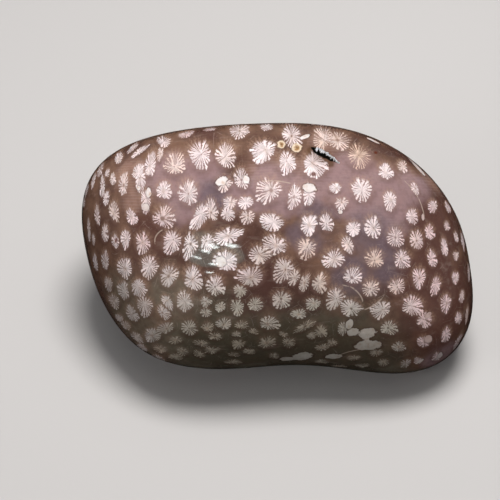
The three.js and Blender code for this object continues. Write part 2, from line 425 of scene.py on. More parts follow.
# The low flowers are drawn dimmer, partly as painted shade of the lower front.
LOW_FLOWERS = [
    (-11.7, -14.2, 2.4, 1.3, 5), (-14.2, -15.5, 2.4, 1.4, -10), (-10.7, -15.8, 2.2, 1.4, -15),
    (-11.5, -16.9, 2.3, 1.2), (-7.6, -14.8, 2.4, 1.1, -10), (-5.5, -13.6, 2.4, 1.3),
    (-6.7, -12.2, 1.9, 1.6), (-5.9, -15.8, 2.8, 1.2), (-7.9, -16.4, 2.0, 1.2, -30),
    (-2.2, -13.3, 1.5, 1.0), (-1.9, -14.7, 2.2, 1.6), (0.0, -16.0, 2.2, 1.0),
    (2.9, -14.5, 2.8, 2.0, 15), (-2.4, -16.5, 1.9, 0.8), (-2.6, -17.6, 2.8, 0.9),
    (-7.8, -18.4, 2.8, 0.8), (-1.2, -11.7, 2.1, 1.4), (0.5, -12.7, 1.6, 0.9, -15),
    (5.3, -13.2, 1.6, 0.8, -20), (8.5, -12.0, 3.7, 1.4, 28), (11.1, -12.9, 2.1, 2.1),
    (12.8, -14.6, 1.7, 1.2, -20), (11.3, -15.3, 2.2, 1.2, 5), (6.1, -14.5, 2.2, 1.8, 10),
    (3.6, -16.6, 1.7, 1.1), (11.1, -17.5, 2.2, 0.8), (16.2, -16.9, 2.2, 1.0), (17.7, -18.1, 2.2, 0.8),
    (14.1, -18.3, 2.4, 0.6), (21.0, -17.6, 2.0, 1.4), (19.9, -16.1, 2.2, 1.2),
]
DIM_FLOWERS = [
    (-3.0, 7.4, 2.2, 2.0), (-21.2, 6.0, 1.6, 3.3, 5), (5.0, -3.3, 3.0, 3.9, -15),
    (8.5, -5.3, 1.4, 3.1, -20), (11.0, -5.3, 2.4, 3.1, -20), (19.1, -6.0, 2.7, 2.8),
    (22.9, -5.8, 2.5, 2.7), (23.9, 13.2, 1.7, 2.2, 20), (7.0, -4.4, 1.7, 2.6, -15),
    (34.1, -10.2, 0.6, 3.0, -5), (24.5, -17.8, 1.9, 1.4, 20), (13.6, 17.4, 4.2, 3.4, -20),
    (-11.9, 13.5, 3.3, 3.8), (8.8, 0.0, 3.0, 3.1), (11.2, 17.6, 2.9, 4.6, -8),
]
CREAM_FLOWERS = [
    (17.0, 14.6, 3.9, 3.9), (19.6, -1.4, 2.8, 3.0), (9.5, -13.5, 1.4, 1.3),
]
DARK_HEARTED_FLOWERS = [(-13.5, 5.0, 3.5, 3.5), (16.2, -4.1, 2.8, 2.8)]

# %% A place for every flower
FLOWER_PROPERTIES = ("centre", "normal", "width_ruler", "height_ruler", "radius", "traits")
flowers = {name: [] for name in FLOWER_PROPERTIES}
FLOWER, YELLOW_RING, RUST_DOT = 0.0, 1.0, 2.0


def add_flower(face, width_ruler, height_ruler, radius, brightness, openness, kind=FLOWER):
    """Adds one flower on a face. A ruler is the vector whose product with an offset is 1 at the rim.

    Of its three traits, the first holds the number of petals with the seed as its fraction.
    """
    petals = round(6 + 6.5 * radius + rng.uniform(0, 4))
    traits = (petals + rng.uniform(0.1, 0.9), brightness, openness + 2 * kind)
    properties = (face_centres[face], face_normals[face], width_ruler, height_ruler, radius, traits)
    for name, value in zip(FLOWER_PROPERTIES, properties):
        flowers[name].append(value)


# %% Setting the flowers that show
faces_seen_at = seen_from_camera(face_centres)
facing_camera = face_normals @ -VIEW_AXIS
BARELY_FACING = 0.02
LEAST_SLANT = 0.35


def missed_by(right, up, left_out):
    """How far each face is seen from a place in the picture, with some faces left out of reach."""
    return np.hypot(*(faces_seen_at - [right, up]).T) + OUT_OF_REACH * left_out


def face_seen_at(right, up):
    """The front face outside the cleft that the camera sees nearest to a place in its picture."""
    return int(np.argmin(missed_by(right, up, cleft_walls | (facing_camera < BARELY_FACING))))


def seen_axes(tilt=0):
    """The directions that the camera sees as across and upright, turned by a tilt in degrees."""
    angle = math.radians(tilt)
    across = math.cos(angle) * VIEW_RIGHT + math.sin(angle) * VIEW_UP
    upright = math.cos(angle) * VIEW_UP - math.sin(angle) * VIEW_RIGHT
    return across, upright


def add_seen_flowers(rows, brightness, openness, kind=FLOWER):
    """Adds flowers that are measured as the camera sees them."""
    for right, up, width, height, *tilt in rows:
        face = face_seen_at(right, up)
        across, upright = seen_axes(*tilt)
        slant = max(facing_camera[face], LEAST_SLANT)
        radius = math.sqrt(width * height / slant) / 2
        shade = brightness + rng.uniform(-0.08, 0.08)
        add_flower(face, across * 2 / width, upright * 2 / height, radius, shade, openness(), kind)


add_seen_flowers(BRIGHT_FLOWERS, 0.98, lambda: rng.uniform(0.0, 0.3))
add_seen_flowers(PLAIN_FLOWERS, 0.84, lambda: rng.uniform(0.0, 0.75))
add_seen_flowers(FLOWERS_NEAR_THE_RIM, 0.80, lambda: rng.uniform(0.0, 0.5))
# Less brightness for the low flowers is partly painted shade.
add_seen_flowers(LOW_FLOWERS, 0.56, lambda: rng.uniform(0.0, 0.9))
add_seen_flowers(DIM_FLOWERS, 0.70, lambda: rng.uniform(0.2, 0.6))
add_seen_flowers(CREAM_FLOWERS, 0.58, lambda: rng.uniform(0.2, 0.5))
add_seen_flowers(DARK_HEARTED_FLOWERS, 0.84, lambda: 1.0)
print("flowers placed by eye:", len(flowers["centre"]))

# %% Darts for the rest of the stone
DART_TRIES = 30000
CLOSEST = 1.08
SEEN_FROM = 0.12
TUBES_LEAN = np.array([0.1, 0.8, 0.6])
LOW_DIAMETER = 2.5
WIDER_HIGH_UP = 0.8
NARROWER_AT_RIGHT = 0.4


def usual_diameter(place):
    """How wide a flower is at a place, in millimetres: wider high up, narrower at the right end."""
    x, _, z = place
    high = np.clip((z - 4) / 20, 0, 1)
    at_right = np.clip((x - 10) / 18, 0, 1)
    return LOW_DIAMETER + WIDER_HIGH_UP * high - NARROWER_AT_RIGHT * at_right


def random_faces(count):
    """Faces drawn at random, each as often as its area says."""
    return rng.choice(len(face_areas), size=count, p=face_areas / face_areas.sum())


def fill_with_darts(tries):
    """Throws seeded darts at the stone and keeps each that lands clear of the flowers there."""
    centres = np.array(flowers["centre"])
    radii = np.array(flowers["radius"])
    landed = random_faces(tries)
    sizes = rng.uniform(0.78, 1.22, size=tries)
    for face, size in zip(landed, sizes):
        radius = usual_diameter(face_centres[face]) * size / 2
        gaps = np.linalg.norm(centres - face_centres[face], axis=1) - CLOSEST * (radii + radius)
        if gaps.min() < 0 or cleft_walls[face] or facing_camera[face] > SEEN_FROM:
            continue
        centres = np.vstack([centres, face_centres[face]])
        radii = np.append(radii, radius)
        normal = face_normals[face]
        across = along_surface(np.cross(TUBES_LEAN, normal) + 0.3 * rng.normal(size=3), normal)
        stretch = rng.uniform(0.88, 1.16)
        brightness = rng.uniform(0.6, 0.95)
        openness = rng.uniform(0, 0.9) ** 1.5
        width_ruler = across / (radius * stretch)
        height_ruler = np.cross(normal, across) * stretch / radius
        add_flower(face, width_ruler, height_ruler, radius, brightness, openness)


fill_with_darts(DART_TRIES)
print("flowers in all:", len(flowers["centre"]))

# %% [markdown]
# Rings and rust. Two small yellow rings sit near the crown, and three dots of rust on the face. They
# could be kept like the milky ovals below, as a distance at each point of the mesh, but that is coarse
# for a ring a millimetre wide. So they are kept as flowers of another kind, with their own colours.

# %% Rings and rust
YELLOW_RINGS = [(4.9, 16.6, 1.3, 1.2), (7.4, 16.1, 1.5, 1.4)]
RUST_DOTS = [(19.8, 15.2, 0.8, 0.6), (-20.9, 1.6, 0.6, 0.8), (10.1, 12.0, 1.1, 0.9)]
add_seen_flowers(YELLOW_RINGS, 0.9, lambda: 0.0, YELLOW_RING)
add_seen_flowers(RUST_DOTS, 0.9, lambda: 0.0, RUST_DOT)

# %% [markdown]
# Each face of the mesh now looks up its nearest flower and its next nearest, counted in flower radii.
# The place of each corner inside those two flowers is kept as two UV maps, where the rim of a flower is
# the circle of radius 1, and the flower's seed, brightness and open heart as a face attribute. The
# finish can then draw every flower sharply from its own middle, with nothing painted by hand.

# %% Nearest and next flower of each face
FACES_AT_ONCE = 4000
centre, normal, width_ruler, height_ruler, flower_radius, traits = (
    np.array(flowers[name], dtype=np.float32) for name in FLOWER_PROPERTIES
)


def flower_distances(points):
    """How far points are from every flower's middle, in that flower's own radii."""
    wide = points @ width_ruler.T - (centre * width_ruler).sum(axis=1)
    high = points @ height_ruler.T - (centre * height_ruler).sum(axis=1)
    deep = (points @ normal.T - (centre * normal).sum(axis=1)) / flower_radius
    return wide ** 2 + high ** 2 + deep ** 2


nearest_two = np.empty((len(face_centres), 2), dtype=np.int32)
for start in range(0, len(face_centres), FACES_AT_ONCE):
    part = slice(start, start + FACES_AT_ONCE)
    nearest_two[part] = np.argsort(flower_distances(face_centres[part]), axis=1)[:, :2]


def keep_flower(name, chosen):
    """Stores where each corner lies in its face's chosen flower, and that flower's traits."""
    of_corner = chosen[corner_faces]
    offset = vertex_places[corner_vertices] - centre[of_corner]
    inside = np.stack([
        (offset * width_ruler[of_corner]).sum(axis=1),
        (offset * height_ruler[of_corner]).sum(axis=1),
    ], axis=-1)
    mesh.uv_layers.new(name=name).uv.foreach_set("vector", inside.astype(np.float32).ravel())
    layer = mesh.attributes.new(name + "_traits", "FLOAT_VECTOR", "FACE")
    layer.data.foreach_set("vector", traits[chosen].ravel())


keep_flower("near_flower", nearest_two[:, 0])
keep_flower("next_flower", nearest_two[:, 1])
print("face attributes:", [layer.name for layer in mesh.attributes if layer.domain == "FACE"])

# %% [markdown]
# Some marks are not flowers. Where a tube was filled with solid white chalcedony it shows as a milky
# oval, and two long, thin ovals along the upper right rim are painted highlights. They are few, so
# each point of the mesh simply keeps its distance to the nearest oval, counted in that oval's radii,
# and the finish turns white inside 1.

# %% Milky ovals and two painted rim highlights
MILKY_OVALS_AND_RIM_HIGHLIGHTS = [
    (15.7, -11.6, 1.1, 1.5, -20), (16.1, -12.9, 1.9, 1.1, 8), (18.5, -13.2, 2.5, 1.5, 5),
    (18.7, -15.0, 3.8, 1.6, 4), (8.1, -16.7, 3.2, 1.3, 8), (5.8, -17.1, 2.6, 0.7, 2),
    (9.3, 9.7, 1.9, 1.3, -5), (-4.5, 10.9, 2.0, 1.2, 32), (-0.4, 11.1, 1.0, 1.4),
    (-16.4, 6.7, 1.1, 1.1), (-4.5, -1.7, 1.5, 1.6), (8.6, 17.7, 1.8, 0.6, 24), (14.2, 5.9, 0.7, 0.7),
    (-15.9, 9.0, 0.8, 1.7), (28.1, -13.9, 1.2, 1.2), (29.9, -16.5, 0.8, 1.0, -30),
    (26.8, -17.4, 1.1, 0.45, 30), (28.0, -10.3, 0.7, 1.1, -35), (27.1, 5.1, 0.45, 1.2, 5),
    # At (26.4, 12.8) and (19.2, 17.3): painted highlights along the upper right rim, not filled tubes.
    (26.4, 12.8, 3.9, 0.5, -50), (13.3, -16.7, 2.6, 0.9, 4), (19.2, 17.3, 2.2, 0.35, -27),
    (-17.4, 9.6, 0.6, 0.9),
]
OVALS_ELSEWHERE = 16
FACING_AWAY = -0.1
FAR_OUTSIDE = 9.0


def oval_distance(points):
    """Distance of points to the nearest milky oval or painted rim highlight, where 1 is an oval's rim."""
    nearest = np.full(len(points), FAR_OUTSIDE)
    for right, up, width, height, *tilt in MILKY_OVALS_AND_RIM_HIGHLIGHTS:
        across, upright = seen_axes(*tilt)
        offset = points - face_centres[face_seen_at(right, up)]
        inside = np.hypot(offset @ across * 2 / width, offset @ upright * 2 / height)
        inside += FAR_OUTSIDE * (np.linalg.norm(offset, axis=1) > 3 * max(width, height))
        nearest = np.minimum(nearest, inside)
    for face in random_faces(OVALS_ELSEWHERE):
        if facing_camera[face] > FACING_AWAY:
            continue
        across = unit(np.cross(face_normals[face], rng.normal(size=3)))
        along = np.cross(face_normals[face], across)
        length, width = rng.uniform(0.6, 1.6), rng.uniform(0.4, 0.8)
        offset = points - face_centres[face]
        inside = np.sqrt((offset @ across / length) ** 2 + (offset @ along / width) ** 2
                         + (offset @ face_normals[face]) ** 2)
        nearest = np.minimum(nearest, inside)
    return nearest


oval = mesh.attributes.new("oval_distance", "FLOAT", "POINT")
oval.data.foreach_set("value", oval_distance(vertex_places).astype(np.float32))

# %% [markdown]
# Healed cracks show as hair-thin pale threads. A thread is thinner than the mesh, so it is kept as the
# flowers are: a third UV map holds how far along the nearest thread a corner is, and how far to the
# side of its bowed line, in millimetres.

# %% Threads
SEEN_THREADS = [
    (25.6, 8.3, 7.4, -64, 0.9), (16.2, -16.0, 4.2, 28, 0.2), (4.0, 10.6, 4.6, -3, 0.2),
    (16.0, -7.0, 4.4, -40, 0.7), (19.4, -8.0, 4.0, 38, -0.4), (-21.5, 5.4, 3.4, -42, 0.3),
    (-14.3, 1.9, 2.6, 62, 0.5),
]
THREADS_ELSEWHERE = 14


def thread_rows():
    """Every thread as the face at its middle, its direction, half its length and its bow."""
    for right, up, length, heading, bow in SEEN_THREADS:
        yield face_seen_at(right, up), seen_axes(heading)[0], length / 2, bow
    for face in random_faces(THREADS_ELSEWHERE):
        if facing_camera[face] < FACING_AWAY:
            yield face, rng.normal(size=3), rng.uniform(1.5, 5.0), rng.uniform(-0.8, 0.8)


def thread_coordinates(corner_places):
    """Share of the way along and millimetres to the side of the nearest thread, for each corner."""
    best = np.full(len(face_centres), 1e9)
    chosen = np.zeros((len(corner_places), 2), dtype=np.float32)
    for face, along, half_length, bow in thread_rows():
        along = along_surface(along, face_normals[face])
        side = np.cross(face_normals[face], along)
        reach = np.linalg.norm(face_centres - face_centres[face], axis=1) / half_length
        nearer = reach < best
        best[nearer] = reach[nearer]
        corners = nearer[corner_faces]
        offset = corner_places[corners] - face_centres[face]
        share = offset @ along / half_length
        chosen[corners] = np.stack([share, offset @ side - bow * (1 - share ** 2)], axis=-1)
    return chosen


threads = thread_coordinates(vertex_places[corner_vertices])
mesh.uv_layers.new(name="thread").uv.foreach_set("vector", threads.ravel())
print("UV maps:", mesh.uv_layers.keys())

# %% [markdown]
# The ground colour between the flowers changes slowly: warm brown on the left, peach over the crown,
# milky mauve on the upper right, lilac across the middle and red brown at the right edge. Greenish moss
# low on the left and along the lowest front, and milk at the lower right edge, are partly painted light
# where the lamps leave the stone dark. Dark olive low in front is painted shade of the lower front,
# partly the stone's own greenish tone. Darker brown patches above it are painted shade where the light
# falls off, and dark amber beside the cleft is painted shade of the cleft showing through the agate.
# Slow changes need no fine map, so each point of the mesh keeps one number for each of these colours.
# Each number is made of soft clouds that hang in the stone around a place on its surface, given as
# (right, up, radius) in millimetres.

# %% Clouds in the agate
GROUND_CLOUDS = {
    "milk": [
        (20, 9.5, 5), (22, 5.5, 4), (-13.3, 12.6, 4.2), (-10, 7.5, 3.8), (26, 10, 3), (17, 12, 2.5),
        (15, 11, 4), (9.5, 9.5, 3), (-7.5, 13, 3), (1, 8, 2.5), (4.5, 10.3, 3), (17, 7, 3),
        # The last two milk clouds, at the lower right edge, are partly painted light where the lamps
        # leave it dark.
        (6, 7.5, 2.5), (3, 12, 2), (-2.5, 8.8, 2), (28.6, -17.4, 2.4), (30.9, -16.0, 2.2),
    ],
    "brown": [
        (-23, 3, 3), (-18, 0, 3), (-1, 1, 4), (-6, -3, 4), (2, 17, 3), (-6, -7, 4), (10.3, 14.5, 1.5),
        (8, -6, 4), (2, -5, 4.5),
    ],
    "red": [
        (29, 4, 4.5), (29, -5, 6), (29, -12, 6), (24, 16, 4), (-15.7, 3.1, 3.5), (2, -6, 4),
        (32, 8, 2.5), (-8, 18, 3),
    ],
    "peach": [
        (2.4, 13.0, 3), (7, 11.5, 3.5), (12, 17, 3), (24.5, 12.5, 1.8), (-19, 12, 3), (28.3, 11.0, 2.6),
        (-18, 8, 2.5),
    ],
    "lilac": [
        (18.8, 2.5, 4.5), (9.2, 1.6, 2.6), (15.7, -3.9, 4), (22, -2, 3.5), (-5.5, 8.7, 3),
        (10, 5.8, 2.5), (7.2, 2.4, 2.0),
    ],
    # The olive clouds are painted shade of the lower front, partly the stone's own greenish tone.
    "olive_shade": [
        (-9, -14, 5), (-1, -13, 6), (7, -14, 7), (15, -14, 7), (22, -14, 4), (2, -18, 6), (14, -19, 6),
        (-3, -9, 4), (-8, -18, 5), (8, -18.5, 6), (20, -18.5, 5), (-2, -18, 5),
    ],
    # The moss clouds are the stone's greenish tone, and partly painted light where the lamps leave the
    # low edge dark.
    "moss_and_painted_light": [
        (-20, -7, 4), (-19, -11, 5), (-14, -14, 4), (-12, -7, 4), (-15, -17, 4), (-8, -18.5, 3),
        (0, -18.3, 3), (8, -18.5, 3), (16, -19, 3), (23, -18.8, 2.5), (25.6, -19.0, 2.0),
    ],
    # The amber clouds are painted shade of the cleft, showing through the agate beside it.
    "amber_shade": [
        (9.7, 15.6, 0.9), (10.6, 14.9, 1.2), (11.6, 14.2, 1.1), (12.5, 13.5, 0.6),
    ],
    # The deep clouds are painted shade: darker patches where the lamps' light falls off.
    "deep": [
        (4, -5, 4), (9, -7, 3.5), (-1, -7.5, 3), (2.5, -1.5, 2), (24, -12, 4), (1.5, 2.5, 1.5),
        (7.3, 14.9, 0.8),
    ],
}


def clouds(points, rows):
    """How deep points are in a set of soft clouds, from 0 outside to 1 in a cloud's middle."""
    clear = np.ones(len(points))
    for right, up, radius in rows:
        middle = face_centres[face_seen_at(right, up)]
        clear *= 1 - np.exp(-(np.linalg.norm(points - middle, axis=1) / radius) ** 2)
    return 1 - clear


CLOUD_LAYERS = {
    "ground": ("milk", "brown", "olive_shade"),
    "tints": ("red", "peach", "lilac"),
    "depths": ("moss_and_painted_light", "amber_shade", "deep"),
}
for layer_name, parts in CLOUD_LAYERS.items():
    numbers = np.zeros((len(vertex_places), 3), dtype=np.float32)
    for column, part in enumerate(parts):
        numbers[:, column] = clouds(vertex_places, GROUND_CLOUDS[part])
    layer = mesh.attributes.new(layer_name, "FLOAT_VECTOR", "POINT")
    layer.data.foreach_set("vector", numbers.ravel())
    print(layer_name, parts, "on average:", np.round(numbers.mean(axis=0), 2))

# %% [markdown]
# A finish is a material made of nodes. Wired by hand, its maths would be hard to read, so one small
# class wraps a number socket and lets plain arithmetic use it: (1 - mask) * 0.5 adds its two Math
# nodes. Every other node comes from one method, which takes the node's type, its settings and the
# values or links of its sockets.


# %% Numbers as expressions
class Value:
    """A number socket that plain arithmetic can use."""

    def __init__(self, finish, socket):
        self.finish = finish
        self.socket = socket

    def maths(self, operation, *others):
        """The result of one Math node on this value and others."""
        sockets = dict(enumerate((self, *others)))
        return self.finish.number("ShaderNodeMath", {"operation": operation}, sockets)

    def __add__(self, other):
        return self.maths("ADD", other)

    def __sub__(self, other):
        return self.maths("SUBTRACT", other)

    def __rsub__(self, other):
        return self.maths("MULTIPLY_ADD", -1, other)

    def __mul__(self, other):
        return self.maths("MULTIPLY", other)

    def __truediv__(self, other):
        return self.maths("DIVIDE", other)

    __radd__ = __add__
    __rmul__ = __mul__


# %% One method for every node
class Finish:
    """A material, with its nodes made by one method."""

    def __init__(self, name):
        self.material = bpy.data.materials.new(name)
        self.material.use_nodes = True
        self.tree = self.material.node_tree
        self.tree.nodes.clear()

    def node(self, kind, settings=None, sockets=None):
        """Adds a node, applies its settings, then fills or links its sockets."""
        made = self.tree.nodes.new(kind)
        for name, value in (settings or {}).items():
            setattr(made, name, value)
        for name, value in (sockets or {}).items():
            value = getattr(value, "socket", value)
            if isinstance(value, bpy.types.NodeSocket):
                self.tree.links.new(value, made.inputs[name])
            else:
                made.inputs[name].default_value = value
        return made

    def number(self, kind, settings, sockets):
        """The first output of a new node, as a value."""
        return Value(self, self.node(kind, settings, sockets).outputs[0])

    def step(self, value, start, end):
        """A smooth step from 0 at start to 1 at end. Start may be the higher one."""
        sockets = {"Value": value, "From Min": start, "From Max": end}
        return self.number("ShaderNodeMapRange", {"interpolation_type": "SMOOTHSTEP"}, sockets)

    def mix(self, share, first, second):
        """Two colours mixed, by the share of the second."""
        sockets = {0: share, 6: first, 7: second}
        return self.node("ShaderNodeMix", {"data_type": "RGBA"}, sockets).outputs[2]

    def coated(self, colour, *coats):
        """A colour under coats, each given as how much of it shows and its own colour."""
        for share, coat in coats:
            colour = self.mix(share, colour, coat)
        return colour

    def vectors(self, operation, sockets, output=0):
        """The result of one Vector Math node."""
        return self.node("ShaderNodeVectorMath", {"operation": operation}, sockets).outputs[output]

    def scaled(self, vector, scale):
        """A vector or a colour times a number."""
        return self.vectors("SCALE", {0: vector, "Scale": scale})

    def reach(self, vector, direction):
        """How far a vector reaches along a direction."""
        return Value(self, self.vectors("DOT_PRODUCT", {0: vector, 1: direction.tolist()}, 1))

    def parts(self, vector):
        """The three numbers of a vector."""
        made = self.node("ShaderNodeSeparateXYZ", {}, {0: vector})
        return [Value(self, output) for output in made.outputs]

    def kept(self, name):
        """The three numbers that the mesh keeps under a name."""
        return self.parts(self.node("ShaderNodeAttribute", {"attribute_name": name}).outputs["Vector"])

    def joined(self, x, y, z):
        """One vector from three numbers."""
        return self.node("ShaderNodeCombineXYZ", {}, {0: x, 1: y, 2: z}).outputs[0]

    def noise(self, vector, scale, seed, detail):
        """Smooth noise around 0.5, with a number of cycles per unit of the vector."""
        sockets = {"Vector": vector, "W": seed, "Scale": scale, "Detail": detail}
        return self.number("ShaderNodeTexNoise", {"noise_dimensions": "4D"}, sockets)

    def lot(self, number, seed):
        """A random number from 0 to 1 that is drawn once for each whole number and seed."""
        sockets = {"Vector": self.joined(number, seed, 0)}
        return self.number("ShaderNodeTexWhiteNoise", {"noise_dimensions": "2D"}, sockets)

    def place(self):
        """The place on the piece, in millimetres."""
        return self.scaled(self.node("ShaderNodeTexCoord").outputs["Object"], 1 / MM)

    def surface(self, sockets):
        """Makes a Principled shader with these sockets the material's surface."""
        shader = self.node("ShaderNodeBsdfPrincipled", {}, sockets)
        self.node("ShaderNodeOutputMaterial", {}, {"Surface": shader.outputs[0]})


# %% [markdown]
# One flower. A corallite is a ring of thin plates that meet near its middle, so it is drawn from two
# numbers: how far out a point is, and in which direction. The direction is counted in petals. The
# borders between petals are dark gaps that widen outwards, each with its own inner end, and each petal
# ends at its own length, often split at its tip. The tube leans away under the surface, so on the upper
# side its plates show on past the rim, tan and blurred. An image could not be this sharp at this size.
# Numbers that are added to a flower's seed only keep its draws apart from each other.

# %% Drawing one flower
TURN_ROUND = 2 * math.pi


def draw_flower(finish, name):
    """How much of a point is petal, and what its flower is like."""
    map_place = finish.node("ShaderNodeUVMap", {"uv_map": name}).outputs[0]
    petals_and_seed, brightness, form = finish.kept(name + "_traits")
    petals = petals_and_seed.maths("FLOOR")
    seed = (petals_and_seed - petals) * 97
    kind = (form / 2 + 0.001).maths("FLOOR")
    openness = form - kind * 2
    x, y, _ = finish.parts(map_place)
    rough = finish.noise(map_place, 2.2, seed, 1)
    rougher = finish.noise(map_place, 2.2, seed + 31, 1)
    fray = finish.noise(map_place, 7.5, seed + 57, 2) - 0.5
    x = x + (rough - 0.5) * 0.18
    y = y + (rougher - 0.5) * 0.18
    out = (x * x + y * y).maths("SQRT")
    heading = finish.lot(1, seed) * TURN_ROUND
    shift = finish.lot(2, seed) * 0.34 * finish.step(out, 1, 0)
    heading_cosine = heading.maths("COSINE")
    heading_sine = heading.maths("SINE")
    x_eye = x - heading_cosine * shift
    y_eye = y - heading_sine * shift
    angle = y_eye.maths("ARCTAN2", x_eye)
    from_eye = (x_eye * x_eye + y_eye * y_eye).maths("SQRT")

    sway = (angle * 2 + heading).maths("SINE") * 0.30 + (angle * 3 - heading).maths("SINE") * 0.22
    turn = angle / TURN_ROUND * petals + sway + fray * 1.1
    gap_number = turn.maths("ROUND")
    petal_number = turn.maths("FLOOR")
    gap_lot = finish.lot(gap_number.maths("FLOORED_MODULO", petals), seed + 5)
    petal_lot = finish.lot(petal_number.maths("FLOORED_MODULO", petals), seed + 9)
    across_gap = (turn - gap_number).maths("ABSOLUTE") * from_eye / petals * TURN_ROUND
    across_petal = (turn - petal_number - 0.5).maths("ABSOLUTE") * 2

    gap_start = gap_lot * 0.62 + 0.03
    gap_width = (from_eye * 1.12 / petals + 0.010 + openness * 0.016) * (1.40 - gap_lot * 0.7)
    gap_width = gap_width * (1.85 - brightness * 1.1)
    solid_start = 1.50 - brightness
    solid = finish.step(finish.noise(map_place, 1.1, seed + 17, 1), solid_start, solid_start + 0.12)
    solid = solid * finish.step(from_eye, 1.0, 0.7)
    gap = finish.step(across_gap, gap_width * 1.35, gap_width * 0.65)
    gap = gap * finish.step(from_eye, gap_start, gap_start + 0.15) * (1 - solid * 0.7)
    gap = gap * (0.40 + from_eye * 0.75).maths("MINIMUM", 1.0)
    split_start = 0.52 + petal_lot * 0.5
    split = finish.step(across_petal, 0.20, 0.05) * finish.step(from_eye, split_start, split_start + 0.16)
    beside_furrow = (y_eye * heading_cosine - x_eye * heading_sine).maths("ABSOLUTE")
    furrow = finish.step(beside_furrow, 0.042, 0.016) * finish.step(from_eye, 0.70, 0.45)
    furrow = furrow * finish.step(finish.lot(4, seed), 0.6, 0.7)
    heart = finish.step(from_eye, openness * 0.30, openness * 0.12)

    upper = finish.step(y, -0.2, 0.9)
    uneven = 1 + (angle * 2 - heading).maths("SINE") * 0.07 + (angle * 3 + heading).maths("SINE") * 0.07
    tip = (0.83 + petal_lot * 0.21 - across_petal * across_petal * 0.08) * uneven + fray * 0.16
    inside = finish.step(out, tip + 0.04 + upper * 0.10, tip - 0.07 - upper * 0.12)
    petal = inside * (1 - gap) * (1 - split * 0.7) * (1 - furrow * 0.5) * (1 - heart * 0.8)
    # Each petal is darker toward its edges, painted shade that makes the flat plates look rounded; the
    # rest of this is each petal's own random tone.
    shade = 0.84 + petal_lot * 0.30 + (rough - 0.5) * 0.35 - across_petal * across_petal * 0.30
    trail = finish.step(out, 1.60, 0.85) * upper * (1 - gap * 0.7) * finish.step(fray, -0.25, 0.15)
    # A painted shadow darkens the ground just below each flower's rim.
    under = finish.step(out, 1.65, 1.0) * finish.step(y, 0.1, -0.9)
    # A painted glow: the light that spreads round each flower in the clear agate.
    painted_glow = finish.step(out, 1.30, 0.80)
    warm = finish.step(from_eye, 0.42, 0.05) * finish.step(finish.lot(5, seed), 0.3, 0.8)
    is_flower = finish.step(kind, 0.6, 0.4)
    return {
        "out": out, "kind": kind, "brightness": brightness, "shade": shade, "warm": warm,
        "petal": petal * is_flower, "trail": trail * is_flower, "under": under * is_flower,
        "painted_glow": painted_glow * is_flower,
    }


# %% [markdown]
# The polished agate is one finish from the bottom up: ground colour, agate bands, faint walls between
# neighbouring tubes, wisps, painted shadow and painted glow round each flower, petals, then ovals,
# threads, rings and rust. Colour does all of it, because the real surface is flat. It is one clear,
# glossy layer, and only a very fine unevenness, left by the wheel, breaks up what it mirrors.

# %% The agate's colours
TAN = (0.200, 0.112, 0.076, 1)
BROWN = (0.095, 0.047, 0.035, 1)
MAUVE_MILK = (0.335, 0.218, 0.224, 1)
# Dark olive: painted shade of the lower front, partly the stone's greenish tone.
OLIVE_SHADE = (0.082, 0.074, 0.050, 1)
MOSS_AND_PAINTED_LIGHT = (0.190, 0.162, 0.118, 1)
RED_BROWN = (0.110, 0.050, 0.039, 1)
PEACH = (0.310, 0.180, 0.140, 1)
LILAC = (0.152, 0.112, 0.134, 1)
AMBER_SHADE = (0.095, 0.045, 0.022, 1)
WALL = (0.40, 0.31, 0.27, 1)
GLOW_AND_OVAL_PINK = (0.42, 0.26, 0.22, 1)
TRAIL = (0.46, 0.30, 0.21, 1)
# Dark brown for painted shadow and shade, and for the agate's dark grain:
DARK_SHADE_AND_GRAIN = (0.060, 0.026, 0.020, 1)
PINK_WHITE = (0.86, 0.745, 0.745, 1)
CREAM = (0.82, 0.62, 0.50, 1)
ROSE = (0.82, 0.60, 0.61, 1)
SHADED_CREAM = (0.41, 0.385, 0.305, 1)
OVAL_WHITE = (0.84, 0.78, 0.76, 1)
SHADED_OVAL = (0.36, 0.33, 0.265, 1)
THREAD = (0.56, 0.45, 0.37, 1)
RING_CREAM = (0.76, 0.64, 0.48, 1)
RING_OCHRE = (0.40, 0.23, 0.10, 1)
RUST = (0.11, 0.018, 0.006, 1)

# %% The ground between the flowers
agate = Finish("polished agate")
spot = agate.place()
near = draw_flower(agate, "near_flower")
far = draw_flower(agate, "next_flower")
milk, brown, olive_shade = agate.kept("ground")
red, peach, lilac = agate.kept("tints")
moss_and_painted_light, amber_shade, deep = agate.kept("depths")
slow = agate.noise(spot, 0.09, 1.0, 3)
medium = agate.noise(spot, 0.35, 2.0, 4)
fine = agate.noise(spot, 1.6, 3.0, 4)
curdled = (medium - 0.5) * 0.9


def cloud_share(amount, start, end):
    """How much of a point one cloud colour covers, with an edge that the agate's own noise curdles."""
    return agate.step(amount + curdled + (slow - 0.5) * 0.4, start, end)


milk_share = cloud_share(milk, 0.15, 0.80)
# The olive clouds lay painted shade over the lower front, partly the stone's greenish tone.
olive_shade_share = cloud_share(olive_shade, 0.10, 0.95)
